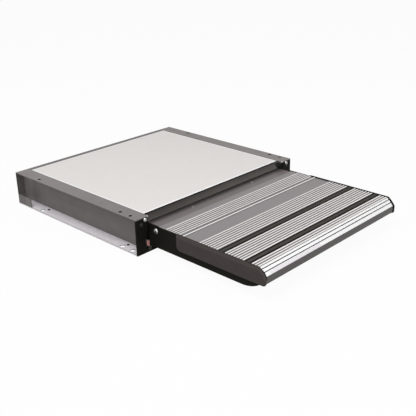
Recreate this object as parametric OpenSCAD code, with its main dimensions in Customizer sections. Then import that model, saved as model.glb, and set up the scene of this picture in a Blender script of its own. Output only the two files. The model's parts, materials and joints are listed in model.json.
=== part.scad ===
// Pull-out entrance step for a caravan: a flat cassette that bolts up under the floor,
// and a ribbed tread on two arms that slides out of its front.
// Sizes are in millimetres. Inside the modules, X runs from left to right across the front,
// Y runs back from the cassette's front plane, and Z runs up from its underside.
// The finished model is moved so that its origin is the middle of the fixing holes on the top face.

/* [Cassette] */
// Overall width of the cassette
cassette_w = 460; // [430:1:620]
// Overall depth of the cassette
cassette_d = 400; // [394:1:480]
// Overall height of the cassette
cassette_h = 73.5; // [66:0.5:90]
// Wall of the side rails and cross-members
rail_t = 2; // [1.5:0.1:2.4]
// Depth of the open channel along each side
channel_depth = 26.5; // [25:0.5:36]
// How far the top flange laps past the inside of the web
flange_lap = 1.8; // [0.5:0.1:3]
// Width of the ledges inside each side rail
ledge_w = 15.5; // [10:0.5:20]
// Height of the track that the step runs on
track_z = 11.6; // [10.8:0.1:11.6]
// Width of the foot under each floor strip
foot_w = 12.5; // [11:0.5:13]
// Thickness of the foot under each floor strip
foot_t = 1.1; // [1:0.1:1.4]
// Thickness of the black front plates and sill
plate_t = 3; // [2:0.5:4]
// Gap between the sill and the arms above it
sill_gap = 0.8; // [0.5:0.1:2]
// Front to back depth of the sill's foot
sill_d = 22; // [14:1:30]
// Width of the rear cross-member's top strip
rear_strip_w = 12; // [8:0.5:16]
// Length of the upright lip at each rear corner
rear_lip_len = 46; // [20:1:60]
// Height of the rear corners' lips
rear_lip_top = 22; // [14:0.5:30]
// Thickness of the rear corners' lips
rear_lip_t = 1.6; // [1:0.2:2.4]
// How far the rear cross-member lies below the top flanges
rear_drop = 0.8; // [0:0.1:1]

/* [Panel and fascia] */
// Thickness of the top panel
panel_t = 3; // [2:0.5:4]
// How far the panel lies below the top flanges
panel_drop = 0.3; // [0:0.1:1]
// Gap round the panel's edge
panel_gap = 0.3; // [0.1:0.1:0.6]
// Distance from the front plane back to the panel's front edge
panel_front = 14; // [10:0.5:20]
// Distance from the front plane back to the fascia's lower edge
fascia_front = 2; // [1:0.5:4]
// Front to back depth of the front cross-member
fascia_d = 26; // [22:1:34]
// Height of the fascia's upright lower edge
fascia_lip = 1.5; // [1:0.1:2.5]
// Clear height between the tread and the fascia
mouth_gap = 1.5; // [1.2:0.1:2]

/* [Fixing holes] */
// Distance from the fixing holes to the cassette's side
hole_edge = 8; // [7:0.5:9]
// Distance from the front plane to the first hole
hole_front = 24; // [18:1:30]
// Distance from the first hole to the second
hole_step = 29; // [24:1:36]
// Distance from the first hole to the last
hole_span = 296; // [200:1:310]
// Diameter of the fixing holes
hole_dia = 6.5; // [5:0.1:8]
// Diameter of the access holes in the floor strips
access_dia = 10.5; // [9:0.1:11]

/* [Floor strips] */
// Thickness of the floor strips
strip_t = 1.3; // [1.2:0.1:2]
// Width of the strip's turned-down outer edge
strip_edge = 2.5; // [1.5:0.1:2.6]
// Number of grooves along the strip
strip_grooves = 5; // [0:1:6]
// Width of each groove
groove_w = 1.2; // [0.6:0.1:2]
// Depth of each groove
groove_t = 0.4; // [0.2:0.1:0.6]
// Distance from the first groove to the second
groove_step = 4.6; // [3:0.1:4.8]
// Distance from the front fixing hole back to the front strip rivet
rivet_front = 25; // [16:1:40]
// Distance from the last fixing hole forward to the rear strip rivet
rivet_rear = 7; // [0:1:20]

/* [Guides and buffers] */
// Running gap between the step and its guides
run_gap = 0.3; // [0.2:0.05:0.5]
// Gap between the end caps and the rail's web
side_gap = 0.3; // [0.3:0.05:0.6]
// Thickness of the lower guide pads
lower_guide_t = 2; // [1.5:0.1:2.6]
// Distance from the front plane to the back of the guides
guide_end = 44; // [40:1:60]
// Gap left between a rear glide and its guide with the step out
stop_gap = 0.4; // [0.2:0.1:1]
// Gap between the end caps' tops and the upper guides
guide_gap = 0.4; // [0.3:0.05:0.8]
// Length of the rubber buffers
buffer_len = 17.7; // [8:0.1:24]
// Diameter of the rubber buffers
buffer_dia = 14; // [8:0.5:16]

/* [Tread] */
// How far the nose stands in front of the cassette with the step out
reach = 284; // [250:1:330]
// How far the nose stands in front of the cassette with the step pushed in
nose_in = 14; // [8:1:30]
// How far the rear plank runs back into the cassette
deck_rear = 14; // [10:0.5:18]
// Distance from the cassette's top down to the plain deck
deck_drop = 14.5; // [13.5:0.1:16]
// Height of the planks
plank_h = 17.5; // [16:0.5:19]
// Top skin of the planks
skin_t = 3.5; // [3:0.1:4.5]
// Bottom skin and inner webs of the planks
web_t = 2; // [1.5:0.1:3]
// Distance from the front plane to the joint between the planks
joint_y = 96; // [94:1:104]
// Gap at the joint
joint_gap = 0.2; // [0.1:0.1:0.6]
// Gap between the planks' ends and the arms
plank_gap = 0.2; // [0.1:0.1:0.5]
// Height of the ribs
rib_h = 1; // [0.5:0.1:1.2]
// Width of the ribs
rib_w = 2.6; // [1.5:0.1:3]
// Width of the rib at each end of a row
end_rib_w = 3.4; // [1.5:0.1:3.6]
// Distance from one rib to the next
rib_pitch = 6.52; // [5:0.01:6.6]
// Depth of the rear plank's lowered back edge
tongue_drop = 1.2; // [0.5:0.1:1.5]
// Distance from the front plane to the lowered edge
tongue_y = 28; // [24:1:34]
// Front to back run of the rounded nose
nose_run = 16; // [12:0.5:20]
// Height that the rounded nose falls through
nose_drop = 12.5; // [11:0.5:16]
// Radius of the rounded nose
nose_r = 60; // [24:1:120]
// Wall of the nose and pull lip
nose_t = 3; // [2:0.1:4]
// How far the pull lip hangs below the planks
lip_h = 7.5; // [4:0.5:10]
// Distance from the nose back to the end of the finger pocket
pocket_d = 26; // [22:1:32]
// Width of each grip strip
grip_w = 15; // [10:0.5:16]
// Depth of the grip strips' seats
grip_seat = 1.2; // [0.8:0.1:1.6]
// Number of fine ribs on each grip strip
grip_ribs = 4; // [2:1:5]

/* [Arms and end caps] */
// Wall of the arms
arm_t = 2.5; // [2:0.1:3]
// How far the arms' top edges stand above the deck
arm_rise = 0.6; // [0:0.1:0.8]
// Width of the arms' inner flanges
arm_flange_w = 20.5; // [16:0.5:24]
// Distance from the nose back to where the arms sweep up
sweep_len = 55; // [40:1:64]
// Radius of the sweep under the arms' fronts
sweep_r = 69; // [60:0.5:90]
// Thickness of the end caps
cap_t = 2.2; // [1.6:0.1:3]
// How far the end caps stand above the ribs
cap_rise = 0.8; // [0.2:0.1:0.8]
// Distance from the front plane to the rear of the end caps
cap_rear = 75; // [65:1:90]
// Height of the end caps' lower edge
cap_z = 27.5; // [26.5:0.5:29.5]
// Height of the end caps' bevelled band
cap_bevel_h = 7.5; // [4:0.5:12]
// How far the bevel leans in at the top
cap_bevel = 1.2; // [0.4:0.1:1.4]
// Radius of the end caps' rounded corners
cap_r = 9; // [4:0.5:12]
// Distance from the deck down to the bolts through the arms
bolt_drop = 12; // [9:0.5:12.5]
// Diameter of the arm bolts
bolt_dia = 6; // [5:0.5:6.5]
// Diameter of the arm bolts' heads
bolt_head_dia = 10; // [8:0.5:11]
// Height of the arm bolts' heads
bolt_head_h = 1.8; // [1:0.1:2]

/* [Rear tie and glides] */
// Wall of the rear glides
glide_t = 5; // [4:0.5:8]
// Front to back width of the rear tie
tie_w = 24; // [22:1:30]
// Height of the rear tie
tie_h = 20; // [16:0.5:22]
// Wall of the rear tie
tie_t = 2.5; // [2:0.1:3]
// Diameter of the glide screws
glide_screw_dia = 5; // [4:0.5:6]

/* [Catch] */
// Thickness of the catch lever
lever_t = 2.3; // [1.8:0.1:2.6]
// Height of the catch lever's lower edge
lever_z = 11; // [10.5:0.1:12]
// Distance from the front plane back to the lever's pivot
pivot_y = 22; // [20:0.5:26]
// Distance from the web's face out to the lever's pivot
pivot_out = 2; // [1.8:0.1:3]
// Diameter of the lever's pin
pin_dia = 3; // [2:0.1:3.4]
// Diameter of the lever's knuckle
knuckle_dia = 7; // [6:0.1:7.4]
// How far the lever's tab stands in front of the front plane
tab_front = 0.5; // [0.5:0.5:6]
// Front to back length of the lever's hook
hook_len = 5; // [4:0.5:6]
// Distance from the front plane back to the hook
hook_y = 4; // [3.5:0.1:5]
// Diameter of the strike peg on the arm
peg_dia = 5; // [4:0.1:6]
// Most that the catch lever turns
lever_turn = 9; // [6:1:10]
// Turns of the catch spring
spring_turns = 3; // [2:1:3]
// Diameter of the catch spring's wire
spring_wire = 0.8; // [0.5:0.1:0.9]

/* [Hidden] */
$fn = 64;
// Radial clearance of a screw or pin in its hole, and of the lever on its pin
hole_fit = 0.02;
pin_fit = 0.05;
// Overlap where one block runs into another within a piece
weld = 0.5;
// How far a cut runs past the face that it goes through
cut = 1;

// Rivet and screw heads: flat top as a share of the head's width, and rivet head as a share of its shank
head_top = 0.7;
rivet_head = 2;

// Distance from the rails' webs out to the strip rivets
rivet_out = 8.25;
// Gap between the floor strips and the webs, and distance from the web to the first groove
strip_gap = 0.2;
groove_start = 3;

// Places across the cassette, from the middle outwards
half_w = cassette_w / 2;
web_out = half_w - channel_depth;
web_in = web_out - rail_t;
ledge_in = web_in - ledge_w;
flange_in = web_in - flange_lap;
cap_out = web_in - side_gap;
arm_out = cap_out - cap_t;
arm_in = arm_out - arm_t;
plank_half = arm_in - plank_gap;
flange_edge = arm_in - arm_flange_w;
glide_in = flange_edge - glide_t;
plate_in = web_in + weld;
hole_x = half_w - hole_edge;
rivet_x = web_out + rivet_out;

// Heights
panel_z = cassette_h - panel_drop - panel_t;
ledge_z = panel_z - rail_t;
strip_top = foot_t + strip_t;
arm_z = track_z + lower_guide_t + run_gap;
glide_z = track_z + run_gap;
glide_top = ledge_z - run_gap;
deck_z = cassette_h - deck_drop;
deck_top = deck_z + rib_h;
arm_top = deck_z + arm_rise;
cap_top = deck_top + cap_rise;
plank_z = deck_z - plank_h;
lip_z = plank_z - lip_h;
bolt_z = deck_z - bolt_drop;
cap_bevel_z = cap_top - cap_bevel_h;
fascia_z = deck_top + mouth_gap;

// Places front to back
rail_end = cassette_d - rail_t;
panel_rear = cassette_d - rear_strip_w - panel_gap;
hole_mid_y = hole_front + hole_span / 2;
hole_ys = [hole_front, hole_front + hole_step, hole_front + hole_span];
rivet_ys = [hole_front + rivet_front, hole_front + hole_span - rivet_rear];
stroke = reach - nose_in;
arm_tail = rail_end - buffer_len - run_gap - stroke;
nose_y = -reach;
sweep_y = nose_y + sweep_len;
glide_y = guide_end + stop_gap;
pocket_y = nose_y + pocket_d;

// Middle of the nose's round, from the two ends of its curve
nose_top_end = [nose_y + nose_run, deck_z];
nose_low_end = [nose_y, deck_z - nose_drop];
nose_chord = nose_low_end - nose_top_end;
nose_sag = sqrt(nose_r * nose_r - nose_chord * nose_chord / 4);
nose_mid = (nose_top_end + nose_low_end) / 2;
nose_centre = nose_mid + [-nose_chord.y, nose_chord.x] * nose_sag / norm(nose_chord);

// Rib rows: first rib's distance from the row's datum, number of ribs
// The rear plank's rows are measured forward from the front plane, the front plank's back from the nose
rear_ribs = [[48.9, 6], [92, 1]];
front_ribs = [[18.8, 3], [51.9, 7], [111.8, 7]];
single_groove = 87.5;
// Back edges of the grip strips, measured from the nose
grip_back_rear = 108.8;
grip_back_front = 49.8;
grip_ys = [nose_y + grip_back_rear, nose_y + grip_back_front];
nose_groove_r = 0.9;
nose_groove_shares = [0.225, 0.565];
nose_top_angle = atan2(nose_top_end.y - nose_centre.y, nose_top_end.x - nose_centre.x);
nose_low_angle = atan2(nose_low_end.y - nose_centre.y, nose_low_end.x - nose_centre.x);
nose_groove_angles = [for (t = nose_groove_shares) nose_top_angle + t * (nose_low_angle - nose_top_angle)];

// Bolts through each arm: one shows behind the end cap, the others lie flush under it
show_bolt_front = 19;
flush_bolt_back = 132;
flush_bolt_gap = 70;
show_bolt_y = -show_bolt_front;
flush_bolt_ys = [nose_y + flush_bolt_back, nose_y + flush_bolt_back - flush_bolt_gap];
bolt_len = 16;
boss_w = 13;
tread_rivet_x = 89;
tread_rivet_front = 7;
tread_rivet_y = -tread_rivet_front;
tread_rivet_dia = 4;

// Catch, drawn on the right side and mirrored to the left
lever_gap = 0.4;
hook_gap = 0.6;
hook_low = 0.5;
lever_down = 1;
lever_in = cap_out + lever_gap;
hook_in = arm_out + hook_gap;
lever_top = cap_z - lever_down;
hook_z = arm_z + hook_low;
pivot_x = web_out + pivot_out;
peg_out = lever_in - lever_gap;
peg_shank = 3;
peg_z = lever_top - peg_dia / 2;
peg_y = hook_y + hook_len + run_gap + peg_dia / 2 - stroke;
lug_t = 2.4;
lug_gap = 0.4;
lug_z = lever_z - lug_gap - lug_t;
lug_top = lever_top + lug_gap + lug_t;
lug_w = 8;
tab_out = lever_in + lever_t;
notch_gap = 0.8;
notch_out = tab_out + (pivot_y + tab_front) * sin(lever_turn) + notch_gap;
notch_low = 1.5;
notch_high = 4;
pocket_gap = 0.2;
knuckle_h = (lever_top - lever_z) / 3.5;
pocket_z = lever_z + knuckle_h;
pocket_top = lever_top - knuckle_h;
pocket_r = knuckle_dia / 2 + pocket_gap;
pocket_back = knuckle_dia / 3;
coil_r = (pin_dia + knuckle_dia) / 4;
coil_rings = 12;
coil_sides = 6;
leg_len = 8;

// Screws and rivets of the cassette, and the tabs that they hold
tab_w = 16;
tab_t = 3;
tab_h = 22;
screw_out = 3.6;
right_screw_out = 10.7;
screw_down = 6;
function plate_screw_x(left) = web_out + (left ? screw_out : right_screw_out);
screw_z = cassette_h - screw_down;
screw_dia = 4;
screw_head_dia = 8.2;
screw_head_h = 2.4;
dimple_x = web_out + 13.5;
dimple_z = cassette_h - 12.7;
dimple_dia = 5;
dimple_h = 0.5;
rear_rivet_zs = [23.5, 45.5];
rear_rivet_dia = 4;
rear_rivet_x = web_out + screw_out;
rear_rivet_head_h = 1.2;
strip_rivet_dia = 3.2;
strip_rivet_head_h = 1.1;
tread_rivet_head_h = 1.3;

// Middle of the block inside each arm that lands on a buffer
buffer_x = (flange_edge + arm_in) / 2;
buffer_z = (arm_z + plank_z) / 2;

// The tie lies between the glides, level with the blocks inside the arms
tie_y = arm_tail - tie_w;
tie_z = buffer_z - tie_h / 2;
glide_screw_ys = [tie_y + 0.3 * tie_w, tie_y + 0.7 * tie_w];
glide_screw_head_dia = 8;
glide_screw_head_h = 3;
glide_screw_len = 14;

// Points of the coil: one ring of points for each step along the wire
leg_x = lever_in + lever_t + spring_wire;
coil_start = 180 + acos((pivot_x - leg_x) / coil_r);
coil_h = pocket_top - pocket_z - 2 * spring_wire;
coil_steps = spring_turns * coil_rings;
function coil_ring(i) =
    let (a = coil_start + 360 * i / coil_rings, z = pocket_z + spring_wire + coil_h * i / coil_steps)
    [for (j = [0 : coil_sides - 1])
        let (b = 360 * j / coil_sides, r = coil_r + spring_wire / 2 * cos(b))
        [pivot_x + r * cos(a), pivot_y + r * sin(a), z + spring_wire / 2 * sin(b)]];
coil_points = [for (i = [0 : coil_steps]) each coil_ring(i)];
coil_walls = [for (i = [0 : coil_steps - 1], j = [0 : coil_sides - 1])
    let (a = i * coil_sides + j, b = i * coil_sides + (j + 1) % coil_sides)
    each [[a, b, b + coil_sides], [a, b + coil_sides, a + coil_sides]]];
coil_ends = [for (j = [1 : coil_sides - 2])
    each [[0, j + 1, j], [0, j, j + 1] + coil_steps * coil_sides * [1, 1, 1]]];

// Moves a piece from the cassette's corner planes to the model's origin
module in_frame() translate([0, -hole_mid_y, -cassette_h]) children();

// Turns a piece drawn on the right side (1) over to the left (-1)
module on_side(side) mirror([side < 0 ? 1 : 0, 0, 0]) children();

// A block between two opposite corners
module block(low, high) translate(low) cube(high - low);

// A rectangle between two opposite corners
module patch(low, high) translate(low) square(high - low);

// Stretches a section drawn across X and Z from y0 back to y1
module along_y(y0, y1) translate([0, y1, 0]) rotate([90, 0, 0]) linear_extrude(y1 - y0) children();

// Stretches a section drawn across Y and Z from x0 to x1
module along_x(x0, x1) translate([x0, 0, 0]) rotate([90, 0, 90]) linear_extrude(x1 - x0) children();

// Round bars along X, Y and Z
module bar_x(x0, x1, y, z, r) translate([x0, y, z]) rotate([0, 90, 0]) cylinder(h = x1 - x0, r = r);
module bar_y(x, y0, y1, z, r) translate([x, y1, z]) rotate([90, 0, 0]) cylinder(h = y1 - y0, r = r);
module bar_z(x, y, z0, z1, r) translate([x, y, z0]) cylinder(h = z1 - z0, r = r);

// A rivet's or screw's head, standing on its seat
module head(dia, h) cylinder(h = h, d1 = dia, d2 = dia * head_top);

// Cuts a round of radius r off a section's corner, whose metal lies towards (sx, sy)
module corner_cut(corner, r, sx, sy) {
    translate(corner + [sx * r, sy * r])
        difference() {
            translate([sx > 0 ? -r - cut : 0, sy > 0 ? -r - cut : 0]) square(r + cut);
            circle(r);
        }
}

// Side view of the tread's rounded front, drawn in by an inset, from height z0 and back to y1
module nose(inset, z0, y1) {
    patch([nose_y + nose_run, z0], [y1, deck_z - inset]);
    intersection() {
        patch([nose_y + inset, z0], [nose_y + nose_run, deck_z - inset]);
        translate(nose_centre) circle(nose_r - inset);
    }
}

// Section of a side rail below its top flange
module rail_section() {
    patch([web_in, 0], [web_out, cassette_h - rail_t / 2]);
    patch([ledge_in, track_z - rail_t], [web_in + weld, track_z]);
    patch([web_in + weld, 0], [web_out + foot_w, foot_t]);
}

module side_rail(with_window) {
    color([0.5, 0.49, 0.49])
        difference() {
            union() {
                along_y(0, rail_end)
                    patch([flange_in, cassette_h - rail_t], [half_w, cassette_h]);
                along_y(plate_t, rail_end) rail_section();
                block([ledge_in, panel_front, ledge_z], [web_in + weld, rail_end, panel_z]);
                block([web_in + weld, plate_t, screw_z - tab_h],
                      [web_out + tab_w, plate_t + tab_t, cassette_h - rail_t / 2]);
                block([web_in + weld, rail_end - tab_t, strip_top + tab_t],
                      [web_out + tab_w, rail_end, cassette_h - rail_t / 2]);
            }
            for (y = hole_ys)
                bar_z(hole_x, y, cassette_h - rail_t - cut, cassette_h + cut, hole_dia / 2);
            for (y = rivet_ys)
                bar_z(rivet_x, y, -cut, foot_t + cut, strip_rivet_dia / 2 + hole_fit);
            bar_y(plate_screw_x(with_window), 0, plate_t + tab_t + cut, screw_z, screw_dia / 2 + hole_fit);
            for (z = rear_rivet_zs)
                bar_y(rear_rivet_x, rail_end - tab_t - cut, rail_end + cut, z,
                      rear_rivet_dia / 2 + hole_fit);
            if (with_window)
                block([cap_out - lever_gap, 0, lug_z - lug_gap],
                      [web_out + cut, pivot_y + knuckle_dia, lug_top + lug_gap]);
        }
}

module floor_strip() {
    color([0.72, 0.71, 0.72])
        difference() {
            along_y(plate_t, rail_end)
                difference() {
                    union() {
                        patch([web_out + strip_gap, foot_t], [half_w, strip_top]);
                        patch([half_w - strip_edge, 0], [half_w, foot_t + weld]);
                    }
                    for (i = [0 : strip_grooves - 1])
                        translate([web_out + groove_start + i * groove_step, strip_top - groove_t])
                            square([groove_w, groove_t + cut]);
                }
            for (y = hole_ys)
                bar_z(hole_x, y, -cut, strip_top + cut, access_dia / 2);
            for (y = rivet_ys)
                bar_z(rivet_x, y, 0, strip_top + cut, strip_rivet_dia / 2 + hole_fit);
        }
}

module strip_rivets() {
    color([0.18, 0.17, 0.17])
        in_frame()
            for (side = [-1, 1], y = rivet_ys)
                on_side(side) {
                    bar_z(rivet_x, y, 0, strip_top + weld, strip_rivet_dia / 2);
                    translate([rivet_x, y, strip_top])
                        head(strip_rivet_dia * rivet_head, strip_rivet_head_h);
                }
}

module rear_member() {
    inner = ledge_in - panel_gap;
    strip_y = cassette_d - rear_strip_w;
    strip_z = cassette_h - rear_drop;
    color([0.4, 0.39, 0.38])
        in_frame()
            difference() {
                union() {
                    block([-half_w, rail_end, 0], [half_w, cassette_d, strip_z]);
                    block([-flange_in + panel_gap, strip_y, strip_z - rail_t],
                          [flange_in - panel_gap, rail_end + weld, strip_z]);
                    block([-inner, strip_y, ledge_z], [inner, strip_y + rail_t, strip_z - rail_t / 2]);
                    block([-inner, strip_y - rear_strip_w, ledge_z], [inner, strip_y + weld, panel_z]);
                    block([-web_in + panel_gap, strip_y, 0], [web_in - panel_gap, rail_end + weld, rail_t]);
                    for (side = [-1, 1])
                        on_side(side)
                            block([half_w - rear_lip_t, rail_end - rear_lip_len, strip_top],
                                  [half_w, rail_end + weld, rear_lip_top]);
                }
                for (side = [-1, 1], z = rear_rivet_zs)
                    on_side(side)
                        bar_y(rear_rivet_x, rail_end - cut, cassette_d + cut, z,
                              rear_rivet_dia / 2 + hole_fit);
            }
}

module rear_rivets() {
    color([0.55, 0.55, 0.55])
        in_frame()
            for (side = [-1, 1], z = rear_rivet_zs)
                on_side(side) {
                    bar_y(rear_rivet_x, rail_end - tab_t, cassette_d + weld, z, rear_rivet_dia / 2);
                    translate([rear_rivet_x, cassette_d, z])
                        rotate([-90, 0, 0])
                            head(rear_rivet_dia * rivet_head, rear_rivet_head_h);
                }
}

module rear_buffers() {
    color([0.1, 0.1, 0.1])
        in_frame()
            for (side = [-1, 1])
                on_side(side)
                    bar_y(buffer_x, rail_end - buffer_len, rail_end, buffer_z, buffer_dia / 2);
}

module top_panel() {
    panel_half = flange_in - panel_gap;
    color([0.86, 0.85, 0.84])
        in_frame()
            block([-panel_half, panel_front + panel_gap, panel_z],
                  [panel_half, panel_rear, panel_z + panel_t]);
}

module front_member() {
    back = fascia_front + fascia_d;
    floor_z = fascia_z + rail_t;
    roof_z = panel_z - rail_t;
    left_end = -flange_in + panel_gap;
    right_end = ledge_in - panel_gap;
    toe = fascia_front + 3 * rail_t;
    color([0.29, 0.28, 0.26])
        in_frame()
            difference() {
                along_x(left_end, right_end)
                    difference() {
                        polygon([[panel_front, panel_z + panel_t], [fascia_front, fascia_z + fascia_lip],
                                 [fascia_front, fascia_z], [back, fascia_z], [back, panel_z],
                                 [panel_front, panel_z]]);
                        polygon([[panel_front, roof_z], [toe, floor_z],
                                 [back - rail_t, floor_z], [back - rail_t, roof_z]]);
                    }
                block([left_end - cut, panel_front - panel_gap, ledge_z - panel_gap],
                      [-ledge_in + panel_gap, back + cut, panel_z]);
            }
}

module front_plate(with_catch) {
    color([0.09, 0.09, 0.08])
        difference() {
            union() {
                block([plate_in, 0, 0], [half_w, plate_t, cassette_h - rail_t]);
                translate([dimple_x, weld, dimple_z])
                    rotate([90, 0, 0])
                        head(dimple_dia, dimple_h + weld);
                if (with_catch)
                    for (z = [lug_z, lug_top - lug_t])
                        block([web_out + panel_gap, plate_t - weld, z],
                              [web_out + panel_gap + lug_w, pivot_y + knuckle_dia / 2 + lug_gap, z + lug_t]);
            }
            bar_y(plate_screw_x(with_catch), -cut, plate_t + cut, screw_z, screw_dia / 2 + hole_fit);
            if (with_catch) {
                block([plate_in - cut, -cut, lever_z - notch_low],
                      [notch_out, plate_t, lever_top + notch_high]);
                bar_z(pivot_x, pivot_y, lug_z - cut, lug_top + cut, pin_dia / 2 + hole_fit);
            }
        }
}

// Sill across the mouth, under the arms: an upright and a foot, notched at its ends beside the catch
module front_sill() {
    half = plate_in - strip_gap;
    foot_half = web_in - panel_gap;
    color([0.09, 0.09, 0.08])
        in_frame()
            difference() {
                union() {
                    block([-half, 0, 0], [half, plate_t, arm_z - sill_gap]);
                    block([-foot_half, plate_t - weld, 0], [foot_half, sill_d, rail_t]);
                }
                for (side = [-1, 1])
                    on_side(side)
                        block([hook_in - cut, -cut, lever_z - notch_low],
                              [half + cut, plate_t + cut, arm_z]);
            }
}

module front_plate_screws() {
    color([0.75, 0.75, 0.74])
        in_frame()
            for (side = [-1, 1])
                on_side(side) {
                    bar_y(plate_screw_x(side < 0), -weld, plate_t + tab_t, screw_z, screw_dia / 2);
                    translate([plate_screw_x(side < 0), 0, screw_z])
                        rotate([90, 0, 0])
                            head(screw_head_dia, screw_head_h);
                }
}

// The right guide runs forward past the fascia's end, and the left one starts behind it
module upper_guide(front) {
    color([0.07, 0.07, 0.07])
        block([ledge_in, front, cap_top + guide_gap],
              [web_in - panel_gap, guide_end, ledge_z]);
}

module lower_guide() {
    color([0.07, 0.07, 0.07])
        block([ledge_in, plate_t, track_z], [cap_out - guide_gap, guide_end, track_z + lower_guide_t]);
}

// Side view of an arm: straight, with its front swept up under the nose
module arm_outline() {
    difference() {
        nose(-arm_rise, arm_z, arm_tail);
        corner_cut([sweep_y - sweep_r, arm_z], sweep_r, 1, 1);
    }
}

module arm(with_peg) {
    color([0.1, 0.1, 0.09])
        difference() {
            union() {
                along_x(arm_in, arm_out) arm_outline();
                block([flange_edge, pocket_y + arm_t, plank_z - arm_t], [arm_in + weld, arm_tail, plank_z]);
                block([flange_edge, sweep_y, arm_z], [arm_in + weld, arm_tail, arm_z + arm_t]);
            }
            bar_x(arm_in - cut, arm_out + cut, show_bolt_y, bolt_z, bolt_dia / 2 + hole_fit);
            for (y = flush_bolt_ys) {
                bar_x(arm_in - cut, arm_out, y, bolt_z, bolt_dia / 2 + hole_fit);
                translate([arm_out, y, bolt_z]) flush_head(hole_fit);
            }
            if (with_peg)
                bar_x(arm_in - cut, arm_out + cut, peg_y, peg_z, peg_shank / 2 + hole_fit);
        }
}

// Countersunk head whose flat face lies at the origin, with its shank towards the middle
module flush_head(fit) {
    head_h = (bolt_head_dia - bolt_dia) / 2;
    translate([-head_h, 0, 0])
        rotate([0, 90, 0])
            cylinder(h = head_h, d1 = bolt_dia + 2 * fit, d2 = bolt_head_dia + 2 * fit);
}

module arm_bolts() {
    color([0.6, 0.6, 0.6])
        in_frame()
            for (side = [-1, 1])
                on_side(side) {
                    bar_x(plank_half - bolt_len, arm_out + weld, show_bolt_y, bolt_z, bolt_dia / 2);
                    translate([arm_out, show_bolt_y, bolt_z])
                        rotate([0, 90, 0])
                            head(bolt_head_dia, bolt_head_h);
                    for (y = flush_bolt_ys) {
                        bar_x(plank_half - bolt_len, arm_out - weld, y, bolt_z, bolt_dia / 2);
                        translate([arm_out, y, bolt_z]) flush_head(0);
                    }
                }
}

// Hollow cells inside a plank, with a solid boss left round each bolt
module plank_cells(y0, y1, count, bolts) {
    pitch = (y1 - y0 + web_t) / count;
    for (i = [0 : count - 1])
        difference() {
            patch([y0 + i * pitch, plank_z + web_t], [y0 + (i + 1) * pitch - web_t, deck_z - skin_t]);
            for (y = bolts)
                translate([y, bolt_z]) square(boss_w, center = true);
        }
}

// Rows of ribs standing on the deck, forward (-1) or back (1) from a datum
module rib_rows(rows, datum, way) {
    for (row = rows, i = [0 : row[1] - 1])
        translate([datum + way * (row[0] + i * rib_pitch), deck_z + (rib_h - weld) / 2])
            square([i % (row[1] - 1) == 0 ? end_rib_w : rib_w, rib_h + weld], center = true);
}

module plank_bolt_holes(ys) {
    for (side = [-1, 1], y = ys)
        on_side(side)
            bar_x(plank_half - bolt_len - cut, plank_half + cut, y, bolt_z, bolt_dia / 2 + hole_fit);
}

module rear_plank() {
    color([0.62, 0.61, 0.61])
        in_frame()
            difference() {
                along_x(-plank_half, plank_half)
                    difference() {
                        union() {
                            patch([-joint_y, plank_z], [deck_rear, deck_z]);
                            rib_rows(rear_ribs, 0, -1);
                        }
                        plank_cells(-joint_y + web_t, deck_rear - web_t, 3, [show_bolt_y]);
                        patch([-tongue_y, deck_z - tongue_drop], [deck_rear + cut, deck_top + cut]);
                        translate([-single_groove, deck_z - rib_h]) square([rib_h, rib_h + cut]);
                    }
                plank_bolt_holes([show_bolt_y]);
                for (x = [-tread_rivet_x, tread_rivet_x])
                    bar_z(x, tread_rivet_y, deck_z - skin_t - cut, deck_top, tread_rivet_dia / 2 + hole_fit);
            }
}

module front_plank() {
    back = -joint_y - joint_gap;
    color([0.62, 0.61, 0.61])
        in_frame()
            difference() {
                along_x(-plank_half, plank_half)
                    difference() {
                        union() {
                            nose(0, plank_z, back);
                            patch([nose_y, lip_z], [nose_y + nose_t, plank_z + weld]);
                            rib_rows(front_ribs, nose_y, 1);
                        }
                        nose(nose_t, plank_z - cut, pocket_y);
                        plank_cells(pocket_y + web_t, back - web_t, 4, flush_bolt_ys);
                        for (y = grip_ys)
                            patch([y - grip_w, deck_z - grip_seat], [y, deck_top + cut]);
                        for (a = nose_groove_angles)
                            translate(nose_centre + nose_r * [cos(a), sin(a)]) circle(nose_groove_r);
                    }
                plank_bolt_holes(flush_bolt_ys);
            }
}

module grip_strip(y) {
    gap = panel_gap / 2;
    rib = grip_w / (2 * grip_ribs + 1);
    floor_z = deck_z - grip_seat;
    color([0.17, 0.17, 0.15])
        in_frame()
            along_x(-plank_half + gap, plank_half - gap) {
                patch([y - grip_w + gap, floor_z], [y - gap, deck_z + rib_h / 2]);
                for (i = [0 : grip_ribs - 1])
                    translate([y - grip_w + (2 * i + 1) * rib, floor_z]) square([rib, deck_top - floor_z]);
            }
}

module end_cap() {
    color([0.24, 0.22, 0.21])
        intersection() {
            along_x(arm_out, cap_out)
                difference() {
                    nose(deck_z - cap_top, cap_z, -cap_rear);
                    corner_cut([-cap_rear, cap_z], cap_r, -1, 1);
                    corner_cut([-cap_rear, cap_top], cap_r / 2, -1, -1);
                    corner_cut([nose_y + deck_z - cap_top, cap_z], cap_r, 1, 1);
                }
            along_y(nose_y - cap_r, 0)
                polygon([[arm_out - cut, 0], [cap_out, 0], [cap_out, cap_bevel_z],
                         [cap_out - cap_bevel, cap_top + cut], [arm_out - cut, cap_top + cut]]);
        }
}

module tread_rivets() {
    seat_z = deck_z - tongue_drop;
    color([0.7, 0.7, 0.7])
        in_frame()
            for (x = [-tread_rivet_x, tread_rivet_x]) {
                bar_z(x, tread_rivet_y, deck_z - skin_t, seat_z + weld, tread_rivet_dia / 2);
                translate([x, tread_rivet_y, seat_z])
                    head(tread_rivet_dia * rivet_head, tread_rivet_head_h);
            }
}

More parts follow.
